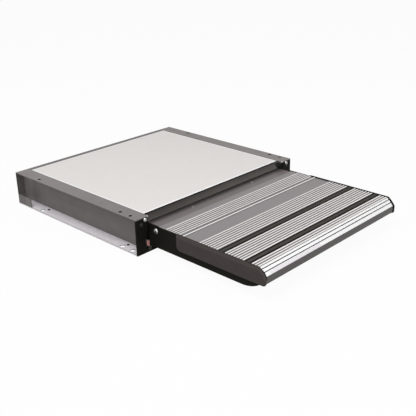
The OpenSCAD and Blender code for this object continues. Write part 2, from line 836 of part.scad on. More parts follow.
module rear_tie() {
    color([0.55, 0.55, 0.55])
        in_frame()
            difference() {
                block([-glide_in, tie_y, tie_z], [glide_in, arm_tail, tie_z + tie_h]);
                block([-glide_in + tie_t, tie_y + tie_t, tie_z + tie_t],
                      [glide_in - tie_t, arm_tail + cut, tie_z + tie_h - tie_t]);
                for (side = [-1, 1], y = glide_screw_ys)
                    on_side(side) glide_screw_hole(y);
            }
}

module glide_screw_hole(y) {
    bar_x(glide_in - tie_t - cut, glide_in - tie_t + glide_screw_len, y, buffer_z,
          glide_screw_dia / 2 + hole_fit);
}

module glide_screws() {
    head_x = glide_in - tie_t;
    color([0.6, 0.6, 0.6])
        in_frame()
            for (side = [-1, 1], y = glide_screw_ys)
                on_side(side) {
                    bar_x(head_x - weld, head_x + glide_screw_len - cut, y, buffer_z, glide_screw_dia / 2);
                    bar_x(head_x - glide_screw_head_h, head_x, y, buffer_z, glide_screw_head_dia / 2);
                }
}

// Slides between the rail's track and its upper ledge, clipped over the arm's flanges
module rear_glide() {
    color([0.85, 0.85, 0.82])
        difference() {
            union() {
                block([glide_in, glide_y, glide_z], [flange_edge, arm_tail, glide_top]);
                block([flange_edge - weld, glide_y, glide_z], [cap_out, arm_tail, arm_z]);
                block([flange_edge - weld, glide_y, arm_z + arm_t], [arm_in, arm_tail, plank_z - arm_t]);
                block([flange_edge - weld, glide_y, plank_z], [arm_in, arm_tail, glide_top]);
                block([arm_in - weld, glide_y, arm_top], [cap_out, arm_tail, glide_top]);
            }
            for (y = glide_screw_ys) glide_screw_hole(y);
        }
}

module strike_peg() {
    color([0.15, 0.15, 0.15])
        in_frame()
            on_side(-1) {
                bar_x(arm_in, arm_out + weld, peg_y, peg_z, peg_shank / 2);
                bar_x(arm_out, peg_out, peg_y, peg_z, peg_dia / 2);
            }
}

module catch_lever() {
    color([0.62, 0.12, 0.1])
        in_frame()
            on_side(-1)
                difference() {
                    union() {
                        block([lever_in, -tab_front, lever_z], [tab_out, pivot_y, lever_top]);
                        block([hook_in, -tab_front, lever_z],
                              [lever_in + weld, plate_t - tab_front, lever_top]);
                        block([hook_in, hook_y, hook_z], [lever_in + weld, hook_y + hook_len, lever_top]);
                        bar_z(pivot_x, pivot_y, lever_z, lever_top, knuckle_dia / 2);
                    }
                    bar_z(pivot_x, pivot_y, lever_z - cut, lever_top + cut, pin_dia / 2 + pin_fit);
                    bar_z(pivot_x, pivot_y, pocket_z, pocket_top, pocket_r);
                    block([lever_in - cut, pivot_y - pocket_back, pocket_z],
                          [pivot_x, pivot_y + cut, pocket_top]);
                }
}

module catch_pin() {
    color([0.7, 0.7, 0.7])
        in_frame()
            on_side(-1) bar_z(pivot_x, pivot_y, lug_z, lug_top, pin_dia / 2);
}

module catch_spring() {
    leg_y = pivot_y + coil_r * sin(coil_start);
    color([0.65, 0.65, 0.65])
        in_frame()
            on_side(-1) {
                polyhedron(coil_points, concat(coil_walls, coil_ends));
                bar_y(leg_x, leg_y - leg_len, leg_y, pocket_z + spring_wire, spring_wire / 2);
            }
}

module side_rail_left() in_frame() on_side(-1) side_rail(true);
module side_rail_right() in_frame() on_side(1) side_rail(false);
module floor_strip_left() in_frame() on_side(-1) floor_strip();
module floor_strip_right() in_frame() on_side(1) floor_strip();
module front_plate_left() in_frame() on_side(-1) front_plate(true);
module front_plate_right() in_frame() on_side(1) front_plate(false);
module upper_guide_left() in_frame() on_side(-1) upper_guide(fascia_front + fascia_d + panel_gap);
module upper_guide_right() in_frame() on_side(1) upper_guide(fascia_front);
module lower_guide_left() in_frame() on_side(-1) lower_guide();
module lower_guide_right() in_frame() on_side(1) lower_guide();
module arm_left() in_frame() on_side(-1) arm(true);
module arm_right() in_frame() on_side(1) arm(false);
module grip_strip_rear() grip_strip(grip_ys[0]);
module grip_strip_front() grip_strip(grip_ys[1]);
module end_cap_left() in_frame() on_side(-1) end_cap();
module end_cap_right() in_frame() on_side(1) end_cap();
module rear_glide_left() in_frame() on_side(-1) rear_glide();
module rear_glide_right() in_frame() on_side(1) rear_glide();

side_rail_left();
side_rail_right();
floor_strip_left();
floor_strip_right();
strip_rivets();
rear_member();
rear_rivets();
rear_buffers();
top_panel();
front_member();
front_plate_left();
front_plate_right();
front_sill();
front_plate_screws();
upper_guide_left();
upper_guide_right();
lower_guide_left();
lower_guide_right();
arm_left();
arm_right();
rear_plank();
front_plank();
grip_strip_rear();
grip_strip_front();
end_cap_left();
end_cap_right();
arm_bolts();
tread_rivets();
rear_tie();
rear_glide_left();
rear_glide_right();
glide_screws();
strike_peg();
catch_lever();
catch_pin();
catch_spring();
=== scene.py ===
"""Looks of a pull-out caravan step: a cassette that bolts up under the floor, and the ribbed tread that
slides out of it.

Everything is in metres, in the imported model's frame: X to the right, Y to the back, Z up, and the origin in
the middle of the fixing holes on the cassette's top face.
"""

import json
import math

import bpy
from mathutils import Matrix, Vector

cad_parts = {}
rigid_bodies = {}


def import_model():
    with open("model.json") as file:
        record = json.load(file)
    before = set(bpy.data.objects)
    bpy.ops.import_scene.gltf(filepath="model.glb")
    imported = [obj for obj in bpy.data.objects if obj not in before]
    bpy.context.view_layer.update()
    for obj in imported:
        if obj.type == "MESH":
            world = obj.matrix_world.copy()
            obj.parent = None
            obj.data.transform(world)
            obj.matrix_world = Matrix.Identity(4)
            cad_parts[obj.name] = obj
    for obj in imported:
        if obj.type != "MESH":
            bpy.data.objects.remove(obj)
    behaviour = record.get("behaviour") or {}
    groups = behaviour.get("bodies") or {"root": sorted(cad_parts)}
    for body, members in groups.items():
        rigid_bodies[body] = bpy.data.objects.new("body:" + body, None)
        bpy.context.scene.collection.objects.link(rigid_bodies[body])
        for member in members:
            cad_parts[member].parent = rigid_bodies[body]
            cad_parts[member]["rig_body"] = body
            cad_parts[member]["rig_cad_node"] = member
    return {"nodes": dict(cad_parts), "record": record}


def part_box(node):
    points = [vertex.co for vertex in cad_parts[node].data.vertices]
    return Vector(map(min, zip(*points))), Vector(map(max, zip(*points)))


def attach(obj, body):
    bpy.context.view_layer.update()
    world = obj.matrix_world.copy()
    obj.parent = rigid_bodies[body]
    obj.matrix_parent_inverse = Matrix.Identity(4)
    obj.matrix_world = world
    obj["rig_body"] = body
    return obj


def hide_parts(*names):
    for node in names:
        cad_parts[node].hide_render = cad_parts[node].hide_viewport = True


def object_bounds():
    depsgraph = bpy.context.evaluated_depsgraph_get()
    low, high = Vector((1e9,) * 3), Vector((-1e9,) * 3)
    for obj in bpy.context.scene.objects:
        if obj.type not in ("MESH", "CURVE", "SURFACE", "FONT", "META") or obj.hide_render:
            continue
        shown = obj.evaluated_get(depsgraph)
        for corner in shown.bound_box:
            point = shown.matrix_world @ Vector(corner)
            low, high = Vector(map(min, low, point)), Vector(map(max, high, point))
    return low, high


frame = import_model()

CAD_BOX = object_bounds()
MM = 0.001
NODES = frame["nodes"]
SLOT_OF = {row["node"]: row["material_slot"] for row in frame["record"]["subparts"]}

# Camera, as measured from the photograph
CAMERA_PLACE = Vector((-976.4, -1082.1, 512.9)) * MM
CAMERA_AZIMUTH = math.radians(-45.822)
CAMERA_ELEVATION = math.radians(22.774)
CAMERA_ROLL = math.radians(-1.248)
IMAGE_SIDE = 416
FOCAL_PIXELS = 701.17
SENSOR = 36.0

# Boxes and faces of the pieces, from the frame
PANEL_LOW, PANEL_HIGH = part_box("top_panel")
RAIL_LOW, RAIL_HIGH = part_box("side_rail_right")
STRIP_LOW, STRIP_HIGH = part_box("floor_strip_right")
PLANK_LOW, PLANK_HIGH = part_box("front_plank")
CAP_LOW, CAP_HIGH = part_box("end_cap_right")
LEVER_LOW, LEVER_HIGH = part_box("catch_lever")
BOLTS_LOW, BOLTS_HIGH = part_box("arm_bolts")
FASCIA_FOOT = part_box("front_member")[0].z
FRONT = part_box("front_sill")[0].y
ARM_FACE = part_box("arm_right")[1].x

# The cassette's fixing holes, and the wider access holes below them
HOLE_X = 222 * MM
HOLE_YS = (-148 * MM, -119 * MM, 148 * MM)
HOLE_RADIUS = 3.25 * MM
ACCESS_RADIUS = 5.25 * MM

# Outer faces of the rails' webs, the rear wall's inner face, and the tabs in front of it
WEB = STRIP_LOW.x
REAR_WALL = STRIP_HIGH.y
TAB = 3 * MM
TAB_EDGE = WEB + 12 * MM

# The tread: its deck under the ribs, its rounded nose, and the top of the pull lip
DECK = PLANK_HIGH.z - 1 * MM
NOSE = PLANK_LOW.y
NOSE_RUN = 16 * MM
NOSE_BACK = NOSE + NOSE_RUN
NOSE_RADIUS = 60 * MM
LIP_TOP = DECK - 12.5 * MM

# How far the finished nose's front edge lies behind and below the plain section's
NOSE_LEAN = 2.7 * MM
NOSE_SINK = 2.45 * MM

# Height of the end caps' folded band, how far its top leans in, and how far the left cap's and the left
# arm's top edges are lowered
CAP_BAND = 8.5 * MM
CAP_LEAN = 0.9 * MM
CAP_SINK = 0.5 * MM
ARM_SINK = 1.2 * MM

# Gap that a lengthened plank or grip strip leaves to the arm's outer face
END_GAP = 0.1 * MM

# The arms' bolts: how far a head reaches from its middle, and how much broader it is made
HEAD_REACH = 8 * MM
HEAD_GROWTH = 1.18

# Hexagon sockets, across and deep, and a plane just behind the front plate screws' faces
BOLT_SOCKET = (4.6 * MM, 1.2 * MM)
SCREW_SOCKET = (3 * MM, 1.6 * MM)
SCREW_FACE = FRONT - 2.3 * MM

# How near a vertex lies to a face, and to an end cap's outer face or fold, that it belongs to
ON_FACE = 0.05 * MM
ON_CAP = 0.01 * MM

# Vertices nearer than this are one; faces that turn less than this are flat, and edges that turn more sharp
SAME_VERTEX = 0.002 * MM
FLAT = math.radians(0.3)
SHARP = math.radians(30)


# Shading helpers

def finish_named(name):
    """A new material with its shader, ready for its own nodes."""
    material = bpy.data.materials.new(name)
    material.use_nodes = True
    return material, material.node_tree, material.node_tree.nodes["Principled BSDF"]


def node_in(tree, kind, **settings):
    """A new node with its settings."""
    node = tree.nodes.new(kind)
    for key, value in settings.items():
        setattr(node, key, value)
    return node


def grey(level):
    """A neutral colour."""
    return (level, level, level)


def place_on(tree, stretch=(1, 1, 1), place=None):
    """The surface's own place in the object, or another place, stretched along the axes."""
    place = place or node_in(tree, "ShaderNodeTexCoord").outputs["Object"]
    mapping = node_in(tree, "ShaderNodeMapping")
    mapping.inputs["Scale"].default_value = stretch
    tree.links.new(place, mapping.inputs["Vector"])
    return mapping.outputs["Vector"]


def combined(tree, operation, first, second):
    """Two values combined by a math operation."""
    node = node_in(tree, "ShaderNodeMath", operation=operation)
    tree.links.new(first, node.inputs[0])
    tree.links.new(second, node.inputs[1])
    return node.outputs["Value"]


def scaled_sum(tree, value, factor, addend):
    """A value times a factor, plus a number or another value."""
    node = node_in(tree, "ShaderNodeMath", operation="MULTIPLY_ADD")
    tree.links.new(value, node.inputs[0])
    node.inputs[1].default_value = factor
    if isinstance(addend, float):
        node.inputs[2].default_value = addend
    else:
        tree.links.new(addend, node.inputs[2])
    return node.outputs["Value"]


def ramped(tree, value, low, high, start=0.3, end=0.7):
    """A value between low and high, as another goes from start to end."""
    ramp = node_in(tree, "ShaderNodeMapRange", clamp=True)
    ramp.inputs["From Min"].default_value = start
    ramp.inputs["From Max"].default_value = end
    ramp.inputs["To Min"].default_value = low
    ramp.inputs["To Max"].default_value = high
    tree.links.new(value, ramp.inputs["Value"])
    return ramp.outputs["Result"]


def grain(tree, scale, detail=3.0, stretch=(1, 1, 1)):
    """Cloudy variation of a surface, from 0 to 1."""
    noise = node_in(tree, "ShaderNodeTexNoise")
    noise.inputs["Scale"].default_value = scale
    noise.inputs["Detail"].default_value = detail
    tree.links.new(place_on(tree, stretch), noise.inputs["Vector"])
    return noise.outputs["Fac"]


def die_lines(tree, along, pitch):
    """Fine lines along one axis; the pitch says how often they change along it and across it."""
    return grain(tree, 1, 4, tuple(pitch[0] if axis == along else pitch[1] for axis in "XYZ"))


def shades(tree, value, dark, light, start=0.3, end=0.7):
    """A colour between two shades."""
    ramp = node_in(tree, "ShaderNodeValToRGB")
    for element, position, shade in zip(ramp.color_ramp.elements, (start, end), (dark, light)):
        element.position = position
        element.color = (*shade, 1)
    tree.links.new(value, ramp.inputs["Fac"])
    return ramp.outputs["Color"]


def mixed(tree, factor, first, second, way="MIX"):
    """Two colours mixed by a factor, which may be a number."""
    mix = node_in(tree, "ShaderNodeMix", data_type="RGBA", blend_type=way)
    if isinstance(factor, (int, float)):
        mix.inputs[0].default_value = factor
    else:
        tree.links.new(factor, mix.inputs[0])
    for socket, colour in ((mix.inputs[6], first), (mix.inputs[7], second)):
        if isinstance(colour, tuple):
            socket.default_value = (*colour, 1)
        else:
            tree.links.new(colour, socket)
    return mix.outputs[2]


def painted(tree, colour, *coats):
    """A colour with coats over it, each a mask and its tone."""
    for mask, tone in coats:
        colour = mixed(tree, mask, colour, tone)
    return colour


def raised(tree, shader, value, strength, depth):
    """Fine relief on the surface."""
    bump = node_in(tree, "ShaderNodeBump")
    bump.inputs["Strength"].default_value = strength
    bump.inputs["Distance"].default_value = depth
    tree.links.new(value, bump.inputs["Height"])
    tree.links.new(bump.outputs["Normal"], shader.inputs["Normal"])


# Masks: 0 at start and 1 at end, whichever of the two is larger

def band(tree, axis, start, end, place=None):
    """A mask along one axis of the object."""
    split = node_in(tree, "ShaderNodeSeparateXYZ")
    tree.links.new(place_on(tree, place=place), split.inputs["Vector"])
    return ramped(tree, split.outputs[axis], 0, 1, start, end)


def ring(tree, point, start, end, stretch=(1, 1, 1), place=None):
    """A mask by the distance from a point, or from a line along an axis whose stretch is 0."""
    gap = node_in(tree, "ShaderNodeVectorMath", operation="DISTANCE")
    tree.links.new(place_on(tree, stretch, place), gap.inputs[0])
    gap.inputs[1].default_value = point
    return ramped(tree, gap.outputs["Value"], 0, 1, start, end)


def beyond(tree, start, end):
    """A mask by the distance from the part's middle plane, alike on both sides."""
    return ring(tree, (0, 0, 0), start, end, (1, 0, 0))


def all_of(tree, *masks):
    """1 only where every mask is 1."""
    product = masks[0]
    for mask in masks[1:]:
        product = combined(tree, "MULTIPLY", product, mask)
    return product


def span(tree, axis, start, end, soft):
    """1 between two places along an axis, with soft ends."""
    return all_of(tree, band(tree, axis, start, start + soft), band(tree, axis, end, end - soft))


def faint(tree, mask, share):
    """A share of a mask."""
    return ramped(tree, mask, 0, share, 0, 1)


def plain_nose(tree):
    """The place that a point of the finished nose has on the plain section."""
    split = node_in(tree, "ShaderNodeSeparateXYZ")
    tree.links.new(place_on(tree), split.inputs["Vector"])
    spread = 1 / (1 - NOSE_LEAN / NOSE_RUN)
    back = scaled_sum(tree, split.outputs["Y"], spread, NOSE_BACK * (1 - spread))
    sink = scaled_sum(tree, back, -NOSE_SINK / NOSE_RUN, NOSE_BACK * NOSE_SINK / NOSE_RUN)
    joined = node_in(tree, "ShaderNodeCombineXYZ")
    tree.links.new(split.outputs["X"], joined.inputs["X"])
    tree.links.new(back, joined.inputs["Y"])
    tree.links.new(scaled_sum(tree, sink, 1.0, split.outputs["Z"]), joined.inputs["Z"])
    return joined.outputs["Vector"]


def nose_ring(tree, start, end):
    """A mask by the distance from the middle of the nose's round, as seen from the side."""
    top, low = Vector((0, NOSE_BACK, DECK)), Vector((0, NOSE, LIP_TOP))
    chord = low - top
    sag = math.sqrt(NOSE_RADIUS ** 2 - chord.length_squared / 4)
    middle = (top + low) / 2 + Vector((0, -chord.z, chord.y)) * sag / chord.length
    return ring(tree, middle, start, end, (0, 1, 1), plain_nose(tree))


# Marks on the finishes

UNDER_SHADE = (0.02, 0.018, 0.018)
LIP_EDGE = (0.04, 0.037, 0.036)
DEEP_BLACK = (0.006, 0.006, 0.005)


def panel_marks(tree, colour):
    """A painted highlight along the panel's cut edge all round, and painted shade in the seams against its
    neighbours.
    """
    rim = 2.2 * MM
    for axis, edge, inward in (("X", PANEL_LOW.x, rim), ("Y", PANEL_LOW.y, rim),
                               ("X", PANEL_HIGH.x, -rim), ("Y", PANEL_HIGH.y, -rim)):
        # painted highlight: a lighter shoulder and a near-white line along each edge
        highlight_shoulder = band(tree, axis, edge + 3.4 * inward, edge + 1.8 * inward)
        edge_highlight = band(tree, axis, edge + 1.1 * inward, edge + 0.9 * inward)
        colour = painted(tree, colour, (highlight_shoulder, (0.75, 0.74, 0.735)), (edge_highlight, grey(0.95)))
    # painted shade in the seams at the front, the sides and the back
    front_seam_shade = band(tree, "Y", PANEL_LOW.y + 0.4 * MM, PANEL_LOW.y + 0.2 * MM)
    side_seam_shade = beyond(tree, PANEL_HIGH.x - 1.6 * MM, PANEL_HIGH.x - 1.2 * MM)
    rear_seam_shade = band(tree, "Y", PANEL_HIGH.y - 2.8 * MM, PANEL_HIGH.y - 1.8 * MM)
    return painted(tree, colour, (front_seam_shade, grey(0.03)), (side_seam_shade, (0.17, 0.155, 0.155)),
                   (rear_seam_shade, (0.25, 0.235, 0.235)))


def fascia_marks(tree, colour):
    """Colour lighter to the right, painted light on the lower edge, and a painted shadow along the shut line
    at the top with painted shade below it.
    """
    drift = mixed(tree, band(tree, "X", -190 * MM, 60 * MM), grey(0.74), grey(1.16))
    colour = mixed(tree, 1, colour, drift, "MULTIPLY")
    # painted shade below the shut line, painted light on the lower edge, which lies in shade, and a painted
    # shadow along the shut line
    shade = faint(tree, band(tree, "Z", -8 * MM, -2.4 * MM), 0.4)
    lit_lower_edge = band(tree, "Z", FASCIA_FOOT + 2 * MM, FASCIA_FOOT + 1.2 * MM)
    shut_line_shadow = band(tree, "Z", -2.4 * MM, -1.9 * MM)
    return painted(tree, colour, (shade, grey(0.004)), (lit_lower_edge, (0.13, 0.12, 0.11)),
                   (shut_line_shadow, grey(0.003)))


def shaded_bores(tree, colour, radius, tone):
    """Painted shade in the bores of the cassette's holes."""
    for x in (-HOLE_X, HOLE_X):
        for y in HOLE_YS:
            # painted shade on each bore's wall
            bore_shade = ring(tree, (x, y, 0), radius + 0.2 * MM, radius, (1, 1, 0))
            colour = mixed(tree, bore_shade, colour, tone)
    return colour


def flange_marks(tree, colour):
    """A painted highlight along the outer edges, a darker front half on the left, a darker strip behind the
    panel, painted shade in the bores of the fixing holes, and unpainted metal at the sheared front corners."""
    flange = band(tree, "Z", -3 * MM, -2 * MM)
    # painted highlight along the flanges' rounded outer edges
    edges = all_of(tree, flange, beyond(tree, RAIL_HIGH.x - 2.8 * MM, RAIL_HIGH.x - 1.8 * MM))
    dull = all_of(tree, flange, band(tree, "X", 0, -1 * MM), band(tree, "Y", 120 * MM, -60 * MM))
    rear_strip = all_of(tree, flange, band(tree, "Y", PANEL_HIGH.y, PANEL_HIGH.y + 0.3 * MM),
                        beyond(tree, PANEL_HIGH.x + 1 * MM, PANEL_HIGH.x - 1 * MM))
    colour = painted(tree, colour, (edges, (0.235, 0.214, 0.213)), (faint(tree, dull, 0.11), UNDER_SHADE),
                     (rear_strip, (0.15, 0.136, 0.136)))
    colour = shaded_bores(tree, colour, HOLE_RADIUS + 0.3 * MM, DEEP_BLACK)
    for x in (PANEL_LOW.x, PANEL_HIGH.x):
        sheared = ring(tree, (x, FRONT, 0), 3.4 * MM, 2.8 * MM)
        colour = mixed(tree, sheared, colour, grey(0.62))
    return colour


def web_marks(tree, colour):
    """Below the flanges: painted shade under them, and at each rear corner painted light on the web, painted
    shade on the wall, and a dark-edged lip.
    """
    below = all_of(tree, band(tree, "Z", -2.5 * MM, -3.5 * MM),
                   beyond(tree, WEB - 0.6 * MM, WEB - 0.4 * MM))
    # painted shade on the web just below the flange
    shade = all_of(tree, below, band(tree, "Z", -30 * MM, -17 * MM))
    web = all_of(tree, below, beyond(tree, TAB_EDGE, WEB + 2 * MM))
    # painted light on the web towards each rear corner, most next to the tab
    pale = faint(tree, band(tree, "Y", REAR_WALL - 110 * MM, REAR_WALL - 20 * MM), 0.5)
    lit = all_of(tree, web, band(tree, "Y", REAR_WALL - 24 * MM, REAR_WALL - TAB),
                 band(tree, "Y", REAR_WALL - 0.4 * MM, REAR_WALL - 0.6 * MM))
    # painted shade on each rear wall
    wall = all_of(tree, below, beyond(tree, TAB_EDGE - 1.5 * MM, TAB_EDGE),
                  span(tree, "Y", REAR_WALL - TAB - 0.3 * MM, REAR_WALL + 1.6 * MM, 0.2 * MM),
                  band(tree, "Z", -51.4 * MM, -51 * MM))
    lip = all_of(tree, below, beyond(tree, RAIL_HIGH.x - 1.8 * MM, RAIL_HIGH.x - 1.6 * MM),
                 band(tree, "Y", REAR_WALL - 25.2 * MM, REAR_WALL - 25 * MM))
    lip_rear = all_of(tree, lip, band(tree, "Y", REAR_WALL - 0.6 * MM, REAR_WALL))
    lip_foot = all_of(tree, lip, band(tree, "Z", RAIL_LOW.z + 1.8 * MM, RAIL_LOW.z + 1 * MM))
    return painted(tree, colour, (faint(tree, shade, 0.26), UNDER_SHADE),
                   (all_of(tree, web, pale), (0.33, 0.3, 0.3)), (lit, (0.42, 0.385, 0.385)),
                   (wall, (0.145, 0.13, 0.129)), (lip, (0.172, 0.157, 0.156)),
                   (lip_rear, LIP_EDGE), (lip_foot, LIP_EDGE))


def rail_marks(tree, colour):
    """The rails and the rear member, above and below the flanges."""
    return web_marks(tree, flange_marks(tree, colour))


def strip_marks(tree, colour):
    """Painted shade on the outer edges and in the groove bottoms, a duller line, and painted shade in the
    access holes of the floor strips.
    """
    # painted shade on the strips' upright outer faces
    outer_edge_shade = beyond(tree, STRIP_HIGH.x - 0.5 * MM, STRIP_HIGH.x - 0.3 * MM)
    dull_line = all_of(tree, beyond(tree, 225 * MM, 226 * MM), beyond(tree, 230 * MM, 229 * MM))
    # painted shade in the groove bottoms
    groove_shade = band(tree, "Z", STRIP_HIGH.z - 0.15 * MM, STRIP_HIGH.z - 0.3 * MM)
    colour = painted(tree, colour, (outer_edge_shade, (0.1, 0.095, 0.1)), (dull_line, (0.8, 0.77, 0.8)),
                     (groove_shade, (0.72, 0.69, 0.72)))
    return shaded_bores(tree, colour, ACCESS_RADIUS + 0.2 * MM, grey(0.04))


# Places of the paler spots on the front plates
PALE_SPOT_X = 217 * MM
PALE_SPOT_Z = -12.7 * MM


def black_marks(tree, colour):
    """Paler spots on the front plates and on the sill below the catch, and lugs in the rails' grey."""
    for x in (-PALE_SPOT_X, PALE_SPOT_X):
        pale_spot = ring(tree, (x, FRONT, PALE_SPOT_Z), 4.6 * MM, 2.4 * MM)
        colour = mixed(tree, pale_spot, colour, (0.05, 0.048, 0.045))
    sill = all_of(tree, band(tree, "X", -201.9 * MM, -201.5 * MM),
                  band(tree, "X", -193.5 * MM, -194.5 * MM),
                  band(tree, "Z", -71 * MM, -70 * MM), band(tree, "Z", -60.2 * MM, -60.6 * MM))
    lugs = all_of(tree, band(tree, "Y", FRONT + 3 * MM, FRONT + 3.2 * MM),
                  beyond(tree, WEB - 0.3 * MM, WEB))
    return painted(tree, colour, (sill, (0.1, 0.097, 0.094)), (lugs, (0.21, 0.19, 0.19)))


def bolt_marks(tree, colour):
    """The arms' bolts get a painted highlight at the top and painted shade below, darker than the cassette's
    screws.
    """
    middle = (BOLTS_LOW.z + BOLTS_HIGH.z) / 2
    # painted highlight on the top of each head and painted shade below it
    top = band(tree, "Z", middle - 1 * MM, middle + 2 * MM)
    wear_and_sheen = mixed(tree, top, (0.1, 0.1, 0.097), (0.7, 0.7, 0.69))
    return mixed(tree, band(tree, "Y", FRONT - 5 * MM, FRONT - 6 * MM), colour, wear_and_sheen)


def lever_marks(tree, colour):
    """The catch is red only on the tab at its front, between its ends."""
    tab = all_of(tree, span(tree, "Z", LEVER_LOW.z + 1.8 * MM, LEVER_HIGH.z - 2.2 * MM, 0.4 * MM),
                 band(tree, "Y", FRONT + 2.6 * MM, FRONT + 2.4 * MM))
    return mixed(tree, tab, grey(0.01), colour)


def cap_marks(tree, colour):
    """Painted light on the end caps' folded bands, painted shade on their inner rims, and the right one's top
    edge black.
    """
    # painted light on the folded bands, along the top and round the nose
    fold = band(tree, "Z", CAP_HIGH.z - 8.7 * MM, CAP_HIGH.z - 8.2 * MM)
    round_fold = all_of(tree, nose_ring(tree, NOSE_RADIUS - 4.5 * MM, NOSE_RADIUS - 3.5 * MM),
                        band(tree, "Y", NOSE_BACK, NOSE_BACK - 1 * MM))
    # painted shade on the inner rims
    inner_rim_shade = beyond(tree, CAP_HIGH.x - 0.9 * MM, CAP_HIGH.x - 1.2 * MM)
    right_top = all_of(tree, band(tree, "X", 0, 1 * MM),
                       band(tree, "Z", CAP_HIGH.z - 0.7 * MM, CAP_HIGH.z - 0.5 * MM))
    return painted(tree, colour, (combined(tree, "MAXIMUM", fold, round_fold), (0.074, 0.062, 0.057)),
                   (inner_rim_shade, DEEP_BLACK), (right_top, DEEP_BLACK))


def grip_marks(tree, colour):
    """The grip strips' flanks, darker than their ribbed middle."""
    flanks = []
    for strip in ("grip_strip_rear", "grip_strip_front"):
        low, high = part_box(strip)
        flanks.append(ring(tree, (0, (low.y + high.y) / 2, 0), 3.2 * MM, 3.8 * MM, (0, 1, 0)))
    return mixed(tree, all_of(tree, *flanks), colour, DEEP_BLACK)


# The tread's die lines, its bright rib at the planks' joint, and the dull patch along its nose
TREAD_LINES = {"along": "X", "pitch": (2, 700)}
JOINT_RIB = (FRONT - 94.5 * MM, FRONT - 89.5 * MM)
NOSE_PATCH = (-186 * MM, -45 * MM)


def tread_marks(tree, colour):
    """Anodised tread: painted shade below the deck and at the opening, painted light further in, wear on the
    rib tops, a painted highlight on the nose and painted shade on the lip below it.
    """
    lines = die_lines(tree, **TREAD_LINES)
    # painted shade for the lowered deck at the back
    tongue_shade = shades(tree, lines, (0.118, 0.102, 0.1), (0.142, 0.124, 0.121))
    worn_rear = shades(tree, lines, (0.6, 0.575, 0.57), (0.72, 0.69, 0.685))
    worn_front = shades(tree, lines, (0.7, 0.68, 0.67), (0.82, 0.8, 0.79))
    # bright for the joint rib, and a painted highlight for the nose
    bare_and_highlight = shades(tree, lines, grey(0.8), grey(0.88))
    # painted shade for the upright lip below the nose
    lip_shade = shades(tree, lines, (0.059, 0.052, 0.052), (0.077, 0.067, 0.067))

    below_deck = band(tree, "Z", DECK - 0.5 * MM, DECK - 0.8 * MM)
    # painted shadow cast by the fascia at the opening, and painted light on the deck further in, which lies
    # in shadow
    mouth_shadow = faint(tree, band(tree, "Y", FRONT - 13 * MM, FRONT), 0.6)
    lit_further_in = band(tree, "Y", FRONT + 1 * MM, FRONT + 5 * MM)
    rib_tops = band(tree, "Z", DECK + 0.4 * MM, DECK + 0.8 * MM)
    wear_and_sheen = mixed(tree, band(tree, "Y", FRONT - 120 * MM, FRONT - 250 * MM), worn_rear, worn_front)
    wear_and_sheen = mixed(tree, span(tree, "Y", *JOINT_RIB, 0.3 * MM), wear_and_sheen, bare_and_highlight)

    nose = band(tree, "Y", NOSE_BACK + 0.3 * MM, NOSE_BACK)
    section = plain_nose(tree)
    dull_patch = all_of(tree, nose, span(tree, "X", *NOSE_PATCH, 1 * MM),
                        band(tree, "Z", DECK - 7.4 * MM, DECK - 7.6 * MM, section))
    # painted shade in the nose's grooves
    groove_shade = all_of(tree, nose, nose_ring(tree, NOSE_RADIUS - 0.1 * MM, NOSE_RADIUS - 0.3 * MM))
    below_nose = all_of(tree, nose, band(tree, "Z", LIP_TOP + 0.8 * MM, LIP_TOP + 0.6 * MM, section))
    return painted(tree, colour, (below_deck, tongue_shade), (mouth_shadow, (0.012, 0.011, 0.01)),
                   (lit_further_in, (0.2, 0.185, 0.18)), (rib_tops, wear_and_sheen), (nose, bare_and_highlight),
                   (dull_patch, (0.735, 0.708, 0.735)), (groove_shade, (0.05, 0.05, 0.055)),
                   (below_nose, lip_shade))


# Finishes

def skinned(name, dark, light, grains, rough, gloss, relief, depth, marks):
    """Tone, gloss and relief that drift at three grain sizes; marks may change the colour."""
    material, tree, shader = finish_named(name)
    colour = shades(tree, grain(tree, grains[0]), dark, light)
    if marks:
        colour = marks(tree, colour)
    tree.links.new(colour, shader.inputs["Base Color"])
    tree.links.new(ramped(tree, grain(tree, grains[1]), *rough), shader.inputs["Roughness"])
    shader.inputs["Specular IOR Level"].default_value = gloss
    raised(tree, shader, grain(tree, grains[2], 2), relief, depth)
    return material


def coated(name, dark, light, rough=(0.42, 0.55), gloss=0.5, peel=0.12, marks=None):
    """Powder coat: slow tonal drift, and the fine orange peel of sprayed paint."""
    return skinned(name, dark, light, (28, 160, 1400), rough, gloss, peel, 0.15 * MM, marks)


def moulded(name, dark, light, rough=(0.45, 0.6), gloss=0.3, pebble=0.15, marks=None):
    """Moulded plastic or rubber with a fine pebbled skin."""
    return skinned(name, dark, light, (60, 300, 1800), rough, gloss, pebble, 0.12 * MM, marks)


def drawn_metal(name, dark, light, rough, metal, along="Y", pitch=(3, 600), gloss=0.5, relief=0.1,
                marks=None):
    """Extruded metal with die lines along one axis; marks may change its colour."""
    material, tree, shader = finish_named(name)
    lines = die_lines(tree, along, pitch)
    colour = shades(tree, lines, dark, light)
    if marks:
        colour = marks(tree, colour)
    tree.links.new(colour, shader.inputs["Base Color"])
    tree.links.new(ramped(tree, lines, *rough), shader.inputs["Roughness"])
    shader.inputs["Metallic"].default_value = metal
    shader.inputs["Specular IOR Level"].default_value = gloss
    raised(tree, shader, lines, relief, 0.1 * MM)
    return material


